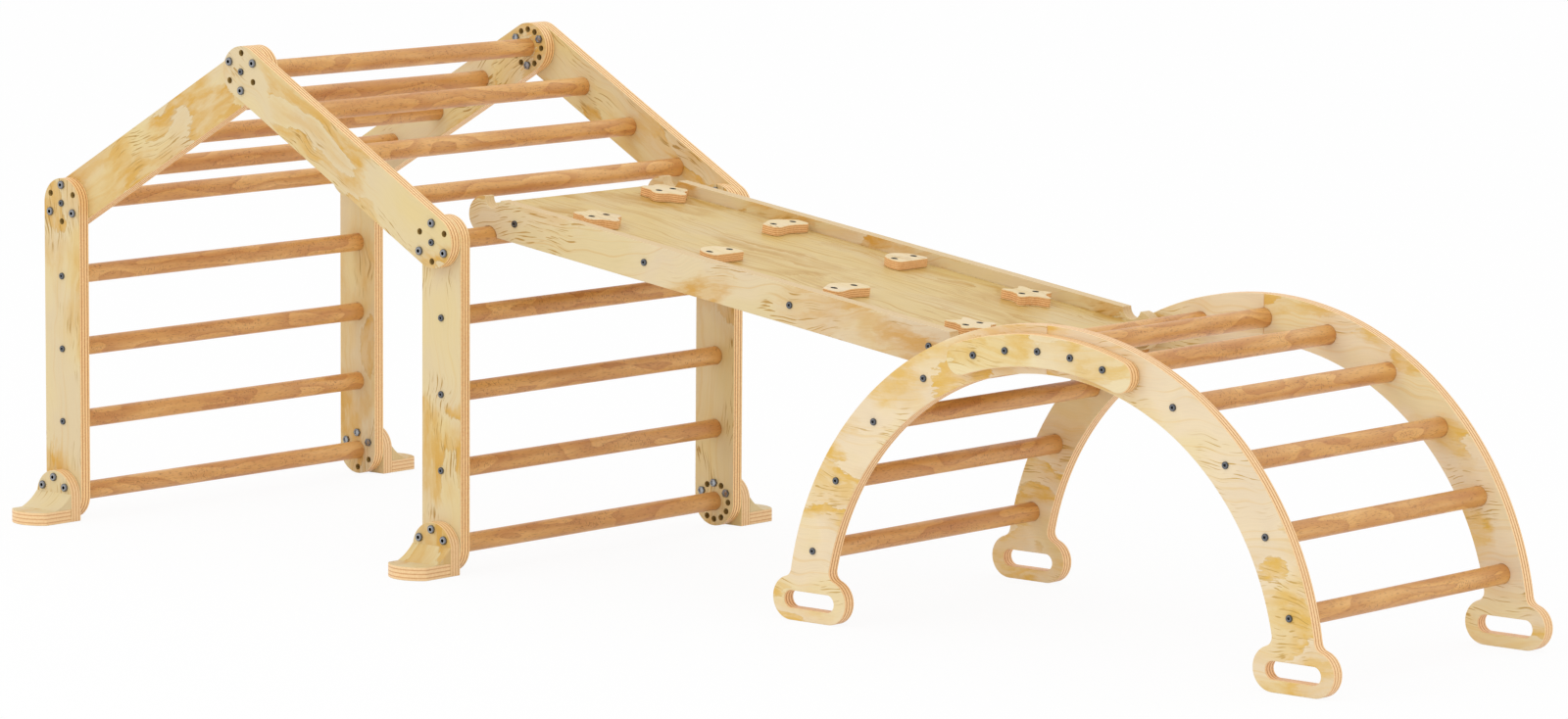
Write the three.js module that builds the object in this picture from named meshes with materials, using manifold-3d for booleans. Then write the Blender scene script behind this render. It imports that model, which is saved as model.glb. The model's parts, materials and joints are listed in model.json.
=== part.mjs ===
// Indoor climbing frame: a fold-down ladder house, a reversible hook-on ramp with holds and a rung arch.
// Millimetres, +Z up, floor at z = 0. The house stands left (-X), the arch right (+X), and the side
// nearest the viewer is -Y. Every plate is a flat ply board standing in the XZ plane, every rung runs along Y.
import * as THREE from 'three';
import { mergeVertices } from 'three/addons/utils/BufferGeometryUtils.js';
import Module from 'manifold-3d';

const wasm = await Module();
wasm.setup();

// Stock sizes.
const PLY = 18;                      // board thickness everywhere
const RUNG_R = 12.5;                 // beech dowel radius
const RUNG_STEP = 100;               // centre to centre of two rungs on a ladder
const POST_R = 34;                   // half the width of a post, and the radius of its round ends

// Clearances.
const GAP = 0.3;                     // between any two pieces that touch or are cut for each other
const PIVOT_GAP = 0.5;               // round the pivot screw in the board that turns on it
const HOOK_GAP = 0.4;                // between a hook notch and the top of the rung it rests on

// House: four ladders of four steps, hinged to each other.
const LADDER = 4 * RUNG_STEP;        // joint to joint along every post and rail
const PITCH = 30;                    // roof pitch at rest, degrees
const HOUSE_W = 596;                 // overall, across the outer boards
const SEAT = 6;                      // depth of the blind seat that a rung end sits in
const RING_R = 25;                   // circle of the locking holes round each joint
const HOLE_R = 4.2;                  // one locking hole
const EAVE_Z = POST_R + LADDER;      // round post ends just reach the floor
const RIDGE_Z = EAVE_Z + LADDER * Math.sin(rad(PITCH));
const SPAN = 2 * LADDER * Math.cos(rad(PITCH));

// Feet: an upright board with a D-shaped base and a wedge between them.
const BASE_SIDE = 46;                // straight part of the base, out from the upright board
const BASE_BULGE = 16;               // how far its curved front reaches past that
const WEDGE_OUT = 28;                // wedge, along the base
const WEDGE_UP = 20;                 // wedge, up the board
const WEDGE_HOLLOW = 2.2;            // how far its face dips in

// Arch.
const ARCH_R = 375;                  // circle through the rung centres, centred on the floor
const ARCH_STEP = 15.2;              // degrees between two rungs
const ARCH_EACH_SIDE = 5;            // rungs on each side of the top one
const ARCH_RAIL_W = 60;
const ARCH_ROOM = { near: 40, far: 14 };   // between the ramp's rails and the arch's
const HANDLE_L = 117;
const HANDLE_H = 56;
const HANDLE_IN = 5;                 // handle centre inside the rung circle, along the floor
const HANDLE_SLOT_L = 80;
const HANDLE_SLOT_H = 22;
const HANDLE_SLOT_DROP = 1.5;        // slot centre below the handle centre
const HANDLE_FILLET = 12;
const JOINT_PLATE_W = 40;            // cover over the butt joint at the top of each arch rail
const JOINT_PLATE_ARC = 18.7;        // degrees from the top to the centre of its round end

// Ramp, drawn flat with s along it from the eave rung, n up from the lower edge of the rails.
const HOOK_SPAN = 786;               // eave rung to arch rung along the ramp
const HOOK_RUNG = 2;                 // the ramp's low end hangs on this arch rung, counted from the top
const RAMP_W = 368;                  // over both rails
const RAMP_SIDE = -6;                // ramp off the middle of the house, towards the viewer
const RAMP_RAIL_H = 50;
const NOTCH_R = 14;
const HEAD_SHIFT = 14;               // centre of the round rail end beyond the hook rung
const DECK_OVER = 33;                // deck past the hook rung at each end
const DECK_SCREWS = [43, 270];       // from the hook rung at either end

// Holds on the deck: first and last one from the hook rungs, and the row's distance from the rail beside it.
const HOLD_T = 12;
const NEAR_HOLDS = { first: 115, last: 42, inset: 63, kinds: ['cloud', 'block', 'wave', 'star'] };
const FAR_HOLDS = { first: 34, last: 130, inset: 46, kinds: ['cloud', 'wave', 'block', 'star'] };
const LOBED = { cloud: { mean: 34, lobe: 5, crease: 0 }, star: { mean: 31, lobe: 7, crease: 2.5 } };
const LOBES = 5;
const LOBE_POINTS = 6;
const LOBED_SHAPE = { along: 0.87, across: 0.83 };
const WAVE = { reach: 36, low: 17, dent: 3, high: 14, hump: 6, tip: 0.35, points: 9 };
const BLOCK = { radius: 31, centre: 8, flat: 18, corner: 6, points: 8 };
const HOLD_SCREW_OFF = { cloud: 14, block: 19.5, wave: 19.5, star: 14 };

// Fasteners. A head that is driven tight on a board is one piece with it.
const SCREW = { shank: 2.4, head: 4.5, up: 2.2 };
const LOCK = { shank: 3.8, head: 5.6, up: 3 };
const HOLD_SCREW = { head: 3.6, sink: 2.4 };
const ROOT = 2;                      // how far a tight head runs on into its board

// Facets per full circle.
const SEG_RUNG = 12;
const SEG_HOLE = 6;
const SEG_END = 24;
const SEG_NOTCH = 16;
const SEG_ARCH = 80;

function rad(deg) { return deg * Math.PI / 180; }

// Where the whole thing sits: centred on its own box in plan, the house symmetric about y = 0.
const ARCH_HOOK = rad(HOOK_RUNG * ARCH_STEP);
const HOOK_DROP = EAVE_Z - ARCH_R * Math.cos(ARCH_HOOK);
const SLOPE = Math.asin(HOOK_DROP / HOOK_SPAN);
const HANDLE_X = ARCH_R - HANDLE_IN;
const ARCH_X_FROM_LEFT = SPAN + HOOK_SPAN * Math.cos(SLOPE) + ARCH_R * Math.sin(ARCH_HOOK);
const TOTAL_L = POST_R + ARCH_X_FROM_LEFT + HANDLE_X + HANDLE_L / 2;
const LEFT_X = POST_R - TOTAL_L / 2;
const RIGHT_X = LEFT_X + SPAN;
const RIDGE_X = LEFT_X + SPAN / 2;
const ARCH_X = LEFT_X + ARCH_X_FROM_LEFT;

// A frame says where the outer faces of a pair of mirrored boards are: depth v counts inwards from them.
const HOUSE = { half: HOUSE_W / 2, mid: 0 };
const RAMP = { half: RAMP_W / 2, mid: RAMP_SIDE };
const ARCH = { half: RAMP.half + PLY + (ARCH_ROOM.near + ARCH_ROOM.far) / 2,
  mid: RAMP.mid + (ARCH_ROOM.far - ARCH_ROOM.near) / 2 };
const NEAR = -1;
const FAR = 1;
const sideName = { [NEAR]: 'near', [FAR]: 'far' };
const bothSides = (make) => [make(NEAR), make(FAR)];
const yAt = (frame, side, v) => frame.mid + side * (frame.half - v);

const MATERIALS = {
  ply: { color: 0xe3cc9b, roughness: 0.6 },
  beech: { color: 0xc98f55, roughness: 0.55 },
};

const root = new THREE.Group();
root.name = 'climbing_frame';

// Closed triangle list from any geometry: welded, without slivers of no area, facing out.
function welded(geometry) {
  const g = geometry.index ? geometry.toNonIndexed() : geometry.clone();
  g.deleteAttribute('normal');
  g.deleteAttribute('uv');
  const m = mergeVertices(g, 1e-4);
  const p = m.attributes.position;
  const idx = m.index.array;
  const keep = [];
  let volume = 0;
  const a = new THREE.Vector3();
  const b = new THREE.Vector3();
  const c = new THREE.Vector3();
  for (let i = 0; i < idx.length; i += 3) {
    const [i0, i1, i2] = [idx[i], idx[i + 1], idx[i + 2]];
    if (i0 === i1 || i1 === i2 || i0 === i2) continue;
    keep.push(i0, i1, i2);
    a.fromBufferAttribute(p, i0);
    b.fromBufferAttribute(p, i1);
    c.fromBufferAttribute(p, i2);
    volume += a.dot(b.cross(c));
  }
  if (volume < 0) keep.reverse();
  m.setIndex(keep);
  return m;
}

function toManifold(geometry) {
  const m = welded(geometry);
  return new wasm.Manifold(new wasm.Mesh({
    numProp: 3,
    vertProperties: new Float32Array(m.attributes.position.array),
    triVerts: new Uint32Array(m.index.array),
  }));
}

// A piece with tools cut away and then bosses joined on.
function shaped(geometry, tools, bosses = []) {
  let body = toManifold(geometry);
  for (const t of tools) body = body.subtract(toManifold(t));
  for (const b of bosses) body = body.add(toManifold(b));
  const mesh = body.getMesh();
  const out = new THREE.BufferGeometry();
  out.setAttribute('position', new THREE.BufferAttribute(new Float32Array(mesh.vertProperties), 3));
  out.setIndex(Array.from(mesh.triVerts));
  return out;
}

// One named mesh for one piece.
function node(name, material, piece) {
  const geometry = welded(piece);
  geometry.computeVertexNormals();
  const mesh = new THREE.Mesh(geometry, new THREE.MeshStandardMaterial(MATERIALS[material]));
  mesh.name = name;
  root.add(mesh);
}

// Points along an arc in the XZ plane, angles in degrees from +X towards +Z.
function arc(cx, cz, r, from, to, n) {
  const out = [];
  for (let i = 0; i <= n; i++) {
    const a = rad(from + (to - from) * i / n);
    out.push(new THREE.Vector2(cx + r * Math.cos(a), cz + r * Math.sin(a)));
  }
  return out;
}

// Drilled hole: the facets stand outside the drill's circle, so that a round bolt fits.
function drilled(x, z, r) { return arc(x, z, r / Math.cos(Math.PI / SEG_HOLE), 0, 360, SEG_HOLE).slice(0, SEG_HOLE); }

// Long round-ended board from one joint to the other.
function stadium(ax, az, bx, bz, r, n = SEG_END) {
  const dir = Math.atan2(bz - az, bx - ax) * 180 / Math.PI;
  return [...arc(bx, bz, r, dir - 90, dir + 90, n / 2), ...arc(ax, az, r, dir + 90, dir + 270, n / 2)];
}

// Flat board in the XZ plane between depths v0 and v1 of a frame, with through holes.
function board(outline, holes, frame, side, v0, v1) {
  const shape = new THREE.Shape(outline);
  shape.holes = holes.map((h) => new THREE.Path(h));
  const g = new THREE.ExtrudeGeometry(shape, { depth: v1 - v0, bevelEnabled: false, steps: 1 });
  const ya = yAt(frame, side, v0);
  const yb = yAt(frame, side, v1);
  return g.rotateX(Math.PI / 2).translate(0, Math.max(ya, yb), 0);
}

// Round bar along Y between two depths, used for rungs and as a cutter.
function bar(x, z, r, frame, side, v0, v1, n) {
  const ya = yAt(frame, side, v0);
  const yb = yAt(frame, side, v1);
  return new THREE.CylinderGeometry(r, r, Math.abs(yb - ya), n).translate(x, (ya + yb) / 2, z);
}

// Turned piece along Y: profile is [radius, depth] pairs from axis to axis.
function turned(x, z, profile, frame, side, n) {
  const pts = profile.map(([r, v]) => new THREE.Vector2(r, yAt(frame, side, v)));
  return new THREE.LatheGeometry(pts, n).translate(x, 0, z);
}

// Head of a tight screw, bolt or nut on the face at depth v of a board; inwards is 1 on its outer face.
function head(kind, x, z, frame, side, v, inwards = 1) {
  return bar(x, z, kind.head, frame, side, v - inwards * kind.up, v + inwards * ROOT, SEG_HOLE);
}

// Rung across a frame with both ends in blind seats.
function rung(x, z, frame, seatDepth) {
  const inset = seatDepth + GAP;
  return bar(x, z, RUNG_R, frame, NEAR, inset, 2 * frame.half - inset, SEG_RUNG);
}

// Pivot rung: the screws in its ends are the pins of a joint, with their heads on the outer boards.
function pivotRung(x, z) {
  const inset = INNER.v1 - SEAT + GAP;
  const out = OUTER.v0 - GAP;
  const pin = (side) => turned(x, z, [[0, out - SCREW.up], [SCREW.head, out - SCREW.up], [SCREW.head, out],
    [SCREW.shank, out], [SCREW.shank, inset + ROOT], [0, inset + ROOT]], HOUSE, side, SEG_HOLE);
  return shaped(rung(x, z, HOUSE, INNER.v1 - SEAT), [], bothSides(pin));
}

const onRing = (x, z, deg) => [x + RING_R * Math.cos(rad(deg)), z + RING_R * Math.sin(rad(deg))];

// Ring of locking holes round a joint, at fixed directions, less those that a bolt fills.
function ring(x, z, count, filled) {
  const out = [];
  for (let i = 0; i < count; i++) {
    const deg = 30 + i * 360 / count;
    if (!filled.includes(deg)) out.push(drilled(...onRing(x, z, deg), HOLE_R));
  }
  return out;
}

// The two board layers of the house: outer boards carry six-hole rings, inner ones twelve.
const OUTER = { v0: 0, v1: PLY - GAP / 2, count: 6, lockFace: 0, lockDir: 1 };
const INNER = { v0: PLY + GAP / 2, v1: 2 * PLY, count: 12, lockFace: 2 * PLY, lockDir: -1 };

// Three locking bolts fix each joint: the heads are on the outer board and the nuts on the inner one.
const RIDGE_LOCKS = [30, 150, 270];
const EAVE_LOCKS = [90, 210, 330];
const FOOT_LOCKS = [30, 90, 150];

// One post or rail from joint a to joint b. Each joint is { at, locks }: a ring with the bolts that fill it.
// seats are the rungs that end in the board, pivots the joint pins that pass it, screwed the rungs that a
// screw through its outer face holds.
function ladderSide(a, b, layer, side, { seats, pivots, screwed }) {
  const ends = [a, b];
  const holes = [...ends.flatMap((e) => ring(...e.at, layer.count, e.locks)),
    ...pivots.map((p) => drilled(...p, SCREW.shank + PIVOT_GAP))];
  const blank = board(stadium(...a.at, ...b.at, POST_R), holes, HOUSE, side, layer.v0, layer.v1);
  const tools = seats.map((p) => bar(...p, RUNG_R + GAP, HOUSE, side, layer.v1 - SEAT, layer.v1 + 1, SEG_RUNG));
  const locks = ends.flatMap((e) => e.locks.map((d) =>
    head(LOCK, ...onRing(...e.at, d), HOUSE, side, layer.lockFace, layer.lockDir)));
  return shaped(blank, tools, [...locks, ...screwed.map((p) => head(SCREW, ...p, HOUSE, side, layer.v0))]);
}

const along = (a, b, d) => [a[0] + (b[0] - a[0]) * d / LADDER, a[1] + (b[1] - a[1]) * d / LADDER];
const middle = [1, 2, 3].map((k) => k * RUNG_STEP);

const leftFoot = [LEFT_X, POST_R];
const leftEave = [LEFT_X, EAVE_Z];
const ridge = [RIDGE_X, RIDGE_Z];
const rightEave = [RIGHT_X, EAVE_Z];
const rightFoot = [RIGHT_X, POST_R];
const ridgeJoint = { at: ridge, locks: RIDGE_LOCKS };
const eaveJoint = (at) => ({ at, locks: EAVE_LOCKS });
const footJoint = (at) => ({ at, locks: [] });

// Right wall: inner boards, five rungs. The ramp hooks on its top one.
const rightMid = middle.map((d) => along(rightEave, rightFoot, d));
for (const side of [NEAR, FAR]) {
  node(`right_wall_post_${sideName[side]}`, 'ply', ladderSide(eaveJoint(rightEave), footJoint(rightFoot), INNER, side,
    { seats: [rightEave, ...rightMid, rightFoot], pivots: [rightEave], screwed: rightMid }));
}
node('right_wall_rung_eave', 'beech', pivotRung(...rightEave));
rightMid.forEach((p, i) => node(`right_wall_rung_${3 - i}`, 'beech', rung(...p, HOUSE, INNER.v1 - SEAT)));
node('right_wall_rung_bottom', 'beech', rung(...rightFoot, HOUSE, INNER.v1 - SEAT));

// Left wall: outer boards, four rungs; its eave rung belongs to the roof.
const leftMid = middle.map((d) => along(leftEave, leftFoot, d));
for (const side of [NEAR, FAR]) {
  node(`left_wall_post_${sideName[side]}`, 'ply', ladderSide(eaveJoint(leftEave), footJoint(leftFoot), OUTER, side,
    { seats: [...leftMid, leftFoot], pivots: [leftEave], screwed: leftMid }));
}
leftMid.forEach((p, i) => node(`left_wall_rung_${3 - i}`, 'beech', rung(...p, HOUSE, OUTER.v1 - SEAT)));
node('left_wall_rung_bottom', 'beech', rung(...leftFoot, HOUSE, OUTER.v1 - SEAT));

// Left roof ladder: inner boards, five rungs with the ridge and the left eave, both of them pivots.
const roofLeftMid = middle.map((d) => along(ridge, leftEave, d));
for (const side of [NEAR, FAR]) {
  node(`roof_left_rail_${sideName[side]}`, 'ply', ladderSide(ridgeJoint, eaveJoint(leftEave), INNER, side,
    { seats: [ridge, ...roofLeftMid, leftEave], pivots: [ridge, leftEave], screwed: [] }));
}
node('roof_left_rung_ridge', 'beech', pivotRung(...ridge));
roofLeftMid.forEach((p, i) => node(`roof_left_rung_${3 - i}`, 'beech', rung(...p, HOUSE, INNER.v1 - SEAT)));
node('roof_left_rung_eave', 'beech', pivotRung(...leftEave));

// Right roof ladder: outer boards, three rungs of its own.
const roofRightMid = middle.map((d) => along(ridge, rightEave, d));
for (const side of [NEAR, FAR]) {
  node(`roof_right_rail_${sideName[side]}`, 'ply', ladderSide(ridgeJoint, eaveJoint(rightEave), OUTER, side,
    { seats: roofRightMid, pivots: [ridge, rightEave], screwed: [] }));
}
roofRightMid.forEach((p, i) => node(`roof_right_rung_${3 - i}`, 'beech', rung(...p, HOUSE, OUTER.v1 - SEAT)));

// Foot, outside a post: an upright board, a D-shaped base and a hollow-faced wedge, glued into one, with the
// three locking bolts that pass through the post to their nuts. face is the depth of its inner face.
function footPlate(p, face, side) {
  const outline = [...arc(...p, POST_R, 0, 180, SEG_END / 2),
    new THREE.Vector2(p[0] - POST_R, 0), new THREE.Vector2(p[0] + POST_R, 0)];
  return board(outline, [], HOUSE, side, face - PLY, face);
}

function footBase(p, out, side) {
  const y0 = yAt(HOUSE, side, out);
  const bulgeR = (POST_R ** 2 + BASE_BULGE ** 2) / (2 * BASE_BULGE);
  const half = Math.asin(POST_R / bulgeR) * 180 / Math.PI;
  const front = arc(p[0], BASE_SIDE + BASE_BULGE - bulgeR, bulgeR, 90 + half, 90 - half, 8);
  const outline = [new THREE.Vector2(p[0] - POST_R, -PLY / 2), ...front, new THREE.Vector2(p[0] + POST_R, -PLY / 2)];
  const shape = new THREE.Shape(outline.map((q) => new THREE.Vector2(q.x, y0 + side * q.y)));
  return new THREE.ExtrudeGeometry(shape, { depth: PLY, bevelEnabled: false, steps: 1 });
}

function footWedge(p, out, side) {
  const [a, b] = [new THREE.Vector2(WEDGE_OUT, PLY), new THREE.Vector2(0, PLY + WEDGE_UP)];
  const dip = new THREE.Vector2(-(b.y - a.y), b.x - a.x).normalize().multiplyScalar(WEDGE_HOLLOW);
  const slant = [0, 1, 2, 3, 4].map((i) => a.clone().lerp(b, i / 4).addScaledVector(dip, Math.sin(i / 4 * Math.PI)));
  const shape = new THREE.Shape([new THREE.Vector2(-PLY / 2, PLY / 2), new THREE.Vector2(WEDGE_OUT, PLY / 2),
    ...slant, new THREE.Vector2(-PLY / 2, PLY + WEDGE_UP)]);
  const g = new THREE.ExtrudeGeometry(shape, { depth: 2 * POST_R, bevelEnabled: false, steps: 1 });
  g.translate(0, 0, -POST_R);
  const basis = new THREE.Matrix4().makeBasis(
    new THREE.Vector3(0, side, 0), new THREE.Vector3(0, 0, 1), new THREE.Vector3(side, 0, 0));
  return g.applyMatrix4(basis).translate(p[0], yAt(HOUSE, side, out), 0);
}

// Bolt through the foot and the post, with a nut on the post's inner face.
function footBolt(x, z, side, out, inner) {
  const seat = out + ROOT;
  const nut = inner + GAP;
  return turned(x, z, [[0, out - LOCK.up], [LOCK.head, out - LOCK.up], [LOCK.head, seat], [LOCK.shank, seat],
    [LOCK.shank, nut], [LOCK.head, nut], [LOCK.head, nut + LOCK.up], [0, nut + LOCK.up]], HOUSE, side, SEG_HOLE);
}

function foot(p, layer, side) {
  const out = layer.v0 - GAP - PLY;
  return shaped(footPlate(p, layer.v0 - GAP, side), [], [footBase(p, out, side), footWedge(p, out, side),
    ...FOOT_LOCKS.map((d) => footBolt(...onRing(...p, d), side, out, layer.v1))]);
}

for (const side of [NEAR, FAR]) {
  node(`right_wall_foot_${sideName[side]}`, 'ply', foot(rightFoot, INNER, side));
  node(`left_wall_foot_${sideName[side]}`, 'ply', foot(leftFoot, OUTER, side));
}

// Arch. Rung k stands k steps right of the top.
const archAt = (k, r = ARCH_R) => [ARCH_X + r * Math.sin(rad(k * ARCH_STEP)), r * Math.cos(rad(k * ARCH_STEP))];

// Centre of a fillet that touches two circles from outside or inside: where two circles cross, upper crossing.
function crossing(c1, r1, c2, r2) {
  const dx = c2.x - c1.x;
  const dy = c2.y - c1.y;
  const d = Math.hypot(dx, dy);
  const t = (r1 * r1 - r2 * r2 + d * d) / (2 * d);
  const h = Math.sqrt(r1 * r1 - t * t);
  const p = [1, -1].map((s) => new THREE.Vector2(c1.x + (t * dx - s * h * dy) / d, c1.y + (t * dy + s * h * dx) / d));
  return p[0].y > p[1].y ? p[0] : p[1];
}

const angleTo = (from, to) => Math.atan2(to.y - from.y, to.x - from.x) * 180 / Math.PI;

// Half of an arch rail, drawn for the right side about x = 0 and mirrored for the left.
function archHalfOutline(mirror) {
  const outer = ARCH_R + ARCH_RAIL_W / 2;
  const inner = ARCH_R - ARCH_RAIL_W / 2;
  const hr = HANDLE_H / 2;
  const reach = HANDLE_L / 2 - hr;
  const origin = new THREE.Vector2(0, 0);
  const endOut = new THREE.Vector2(HANDLE_X + reach, hr);
  const endIn = new THREE.Vector2(HANDLE_X - reach, hr);
  const filletOut = crossing(origin, outer + HANDLE_FILLET, endOut, hr + HANDLE_FILLET);
  const filletIn = crossing(origin, inner - HANDLE_FILLET, endIn, hr + HANDLE_FILLET);
  const topOut = 90 - Math.asin(GAP / 2 / outer) * 180 / Math.PI;
  const topIn = 90 - Math.asin(GAP / 2 / inner) * 180 / Math.PI;
  const legOut = angleTo(origin, filletOut);
  const legIn = angleTo(origin, filletIn);
  const steps = (from, to) => Math.ceil(Math.abs(to - from) * SEG_ARCH / 360);
  const pts = [
    ...arc(0, 0, outer, topOut, legOut, steps(topOut, legOut)),
    ...arc(filletOut.x, filletOut.y, HANDLE_FILLET, legOut + 180, angleTo(filletOut, endOut) + 360, 4),
    ...arc(endOut.x, endOut.y, hr, angleTo(endOut, filletOut), -90, 9),
    ...arc(endIn.x, endIn.y, hr, -90, angleTo(endIn, filletIn) - 360, 9),
    ...arc(filletIn.x, filletIn.y, HANDLE_FILLET, angleTo(filletIn, endIn), legIn, 4),
    ...arc(0, 0, inner, legIn, topIn, steps(legIn, topIn)),
  ];
  const clean = pts.filter((p, i) => i === 0 || p.distanceTo(pts[i - 1]) > 0.05);
  return clean.map((p) => new THREE.Vector2(ARCH_X + mirror * p.x, p.y));
}

function archHalf(mirror, side) {
  const sx = (HANDLE_SLOT_L - HANDLE_SLOT_H) / 2;
  const sz = HANDLE_H / 2 - HANDLE_SLOT_DROP;
  const hx = ARCH_X + mirror * HANDLE_X;
  const slot = stadium(hx - sx, sz, hx + sx, sz, HANDLE_SLOT_H / 2, 16);
  const blank = board(archHalfOutline(mirror), [slot], ARCH, side, 0, PLY);
  const ks = Array.from({ length: ARCH_EACH_SIDE + 1 }, (_, i) => mirror * i);
  const seats = ks.map((k) => bar(...archAt(k), RUNG_R + GAP, ARCH, side, PLY - SEAT, PLY + 1, SEG_RUNG));
  return shaped(blank, seats, ks.slice(2).map((k) => head(SCREW, ...archAt(k), ARCH, side, 0)));
}

for (const side of [NEAR, FAR]) {
  node(`arch_rail_left_${sideName[side]}`, 'ply', archHalf(-1, side));
  node(`arch_rail_right_${sideName[side]}`, 'ply', archHalf(1, side));
}

// Cover plate over the butt joint, with five screws: three into the top rungs and one into each half rail.
function jointPlate(side) {
  const w = JOINT_PLATE_W / 2;
  const [lo, hi] = [90 - JOINT_PLATE_ARC, 90 + JOINT_PLATE_ARC];
  const end = (deg) => [ARCH_X + ARCH_R * Math.cos(rad(deg)), ARCH_R * Math.sin(rad(deg))];
  const outline = [
    ...arc(ARCH_X, 0, ARCH_R + w, lo, hi, 8).slice(0, -1),
    ...arc(...end(hi), w, hi, hi + 180, 8).slice(0, -1),
    ...arc(ARCH_X, 0, ARCH_R - w, hi, lo, 8).slice(0, -1),
    ...arc(...end(lo), w, lo + 180, lo + 360, 8).slice(0, -1),
  ];
  const outer = -GAP - PLY;
  const heads = [-1, -0.5, 0, 0.5, 1].map((k) => head(SCREW, ...archAt(k), ARCH, side, outer));
  return shaped(board(outline, [], ARCH, side, outer, -GAP), [], heads);
}
for (const side of [NEAR, FAR]) node(`arch_joint_plate_${sideName[side]}`, 'ply', jointPlate(side));

for (let k = -ARCH_EACH_SIDE; k <= ARCH_EACH_SIDE; k++) {
  const name = k === 0 ? 'arch_rung_top' : `arch_rung_${k < 0 ? 'left' : 'right'}_${Math.abs(k)}`;
  node(name, 'beech', rung(...archAt(k), ARCH, PLY - SEAT));
}

// Ramp, built lying flat along s and n, then laid on its slope from the eave rung.
const onSlope = (g) => g.rotateY(SLOPE).translate(RIGHT_X, 0, EAVE_Z);

const deckScrewAt = DECK_SCREWS.flatMap((d) => [d, HOOK_SPAN - d]);
const DECK_N = [(RAMP_RAIL_H - PLY) / 2, (RAMP_RAIL_H + PLY) / 2];
const holdRow = (side, { first, last, inset, kinds }) => kinds.map((kind, i) => ({
  kind,
  name: `ramp_hold_${sideName[side]}_${kind}`,
  s: first + i * (HOOK_SPAN - first - last) / (kinds.length - 1),
  y: yAt(RAMP, side, PLY + inset),
}));

// Rail with a hook notch in both edges at both ends, screwed to the deck's edge.
function rampRail(side) {
  const r = RAMP_RAIL_H / 2;
  const blank = board(stadium(-HEAD_SHIFT, r, HOOK_SPAN + HEAD_SHIFT, r, r), [], RAMP, side, 0, PLY);
  const drop = NOTCH_R - RUNG_R - HOOK_GAP;
  const notches = [0, HOOK_SPAN].flatMap((s) => [-drop, RAMP_RAIL_H + drop].map((n) =>
    bar(s, n, NOTCH_R, RAMP, side, -1, PLY + 1, SEG_NOTCH)));
  return onSlope(shaped(blank, notches, deckScrewAt.map((s) => head(SCREW, s, r, RAMP, side, 0))));
}

// Deck between the rails.
function deck() {
  const v = PLY + GAP;
  const outline = [[-DECK_OVER, DECK_N[0]], [HOOK_SPAN + DECK_OVER, DECK_N[0]],
    [HOOK_SPAN + DECK_OVER, DECK_N[1]], [-DECK_OVER, DECK_N[1]]].map((p) => new THREE.Vector2(...p));
  return onSlope(board(outline, [], RAMP, NEAR, v, 2 * RAMP.half - v));
}

// Outline of a hold about its own centre: s along the ramp, y across it.
function holdOutline(kind) {
  if (LOBED[kind]) {
    const { mean, lobe, crease } = LOBED[kind];
    return Array.from({ length: LOBES * LOBE_POINTS }, (_, i) => {
      const a = 2 * Math.PI * i / (LOBES * LOBE_POINTS);
      const r = mean + lobe * Math.cos(LOBES * a) + crease * Math.cos(2 * LOBES * a);
      return new THREE.Vector2(r * Math.cos(a) * LOBED_SHAPE.along, r * Math.sin(a) * LOBED_SHAPE.across);
    });
  }
  if (kind === 'wave') {
    const edge = (middle, swing) => Array.from({ length: WAVE.points }, (_, i) => {
      const y = 2 * i / (WAVE.points - 1) - 1;
      const round = WAVE.tip + (1 - WAVE.tip) * Math.sqrt(1 - y ** 8);
      return new THREE.Vector2((middle + swing * Math.cos(y * Math.PI)) * round, y * WAVE.reach);
    });
    return [...edge(WAVE.low, -WAVE.dent), ...edge(-WAVE.high, -WAVE.hump).reverse()];
  }
  // Half moon: a round with its lower side cut flat, and two small round corners there.
  const cornerS = BLOCK.flat - BLOCK.corner;
  const cornerY = Math.sqrt((BLOCK.radius - BLOCK.corner) ** 2 - (cornerS - BLOCK.centre) ** 2);
  const meet = Math.atan2(cornerY, cornerS - BLOCK.centre) * 180 / Math.PI;
  return [...arc(cornerS, cornerY, BLOCK.corner, 0, meet, 3),
    ...arc(BLOCK.centre, 0, BLOCK.radius, meet, 360 - meet, BLOCK.points).slice(1, -1),
    ...arc(cornerS, -cornerY, BLOCK.corner, 360 - meet, 360, 3)];
}

// Hold with two sunk screws in its top.
function hold({ kind, s, y }) {
  const shape = new THREE.Shape(holdOutline(kind).map((p) => new THREE.Vector2(s + p.x, y + p.y)));
  const low = DECK_N[1] + GAP;
  const top = low + HOLD_T;
  const blank = new THREE.ExtrudeGeometry(shape, { depth: HOLD_T, bevelEnabled: false, steps: 1 });
  const sunk = [-1, 1].map((q) => new THREE.CylinderGeometry(HOLD_SCREW.head, HOLD_SCREW.head, 2 * HOLD_SCREW.sink,
    SEG_HOLE).rotateX(Math.PI / 2).translate(s, y + q * HOLD_SCREW_OFF[kind], top));
  return onSlope(shaped(blank.translate(0, 0, low), sunk));
}

for (const side of [NEAR, FAR]) node(`ramp_rail_${sideName[side]}`, 'ply', rampRail(side));
node('ramp_deck', 'ply', deck());
for (const h of [...holdRow(NEAR, NEAR_HOLDS), ...holdRow(FAR, FAR_HOLDS)]) node(h.name, 'ply', hold(h));

export default root;
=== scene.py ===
import itertools
import json
import math
from functools import partial

import bmesh
import bpy
from mathutils import Matrix, Vector


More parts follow.
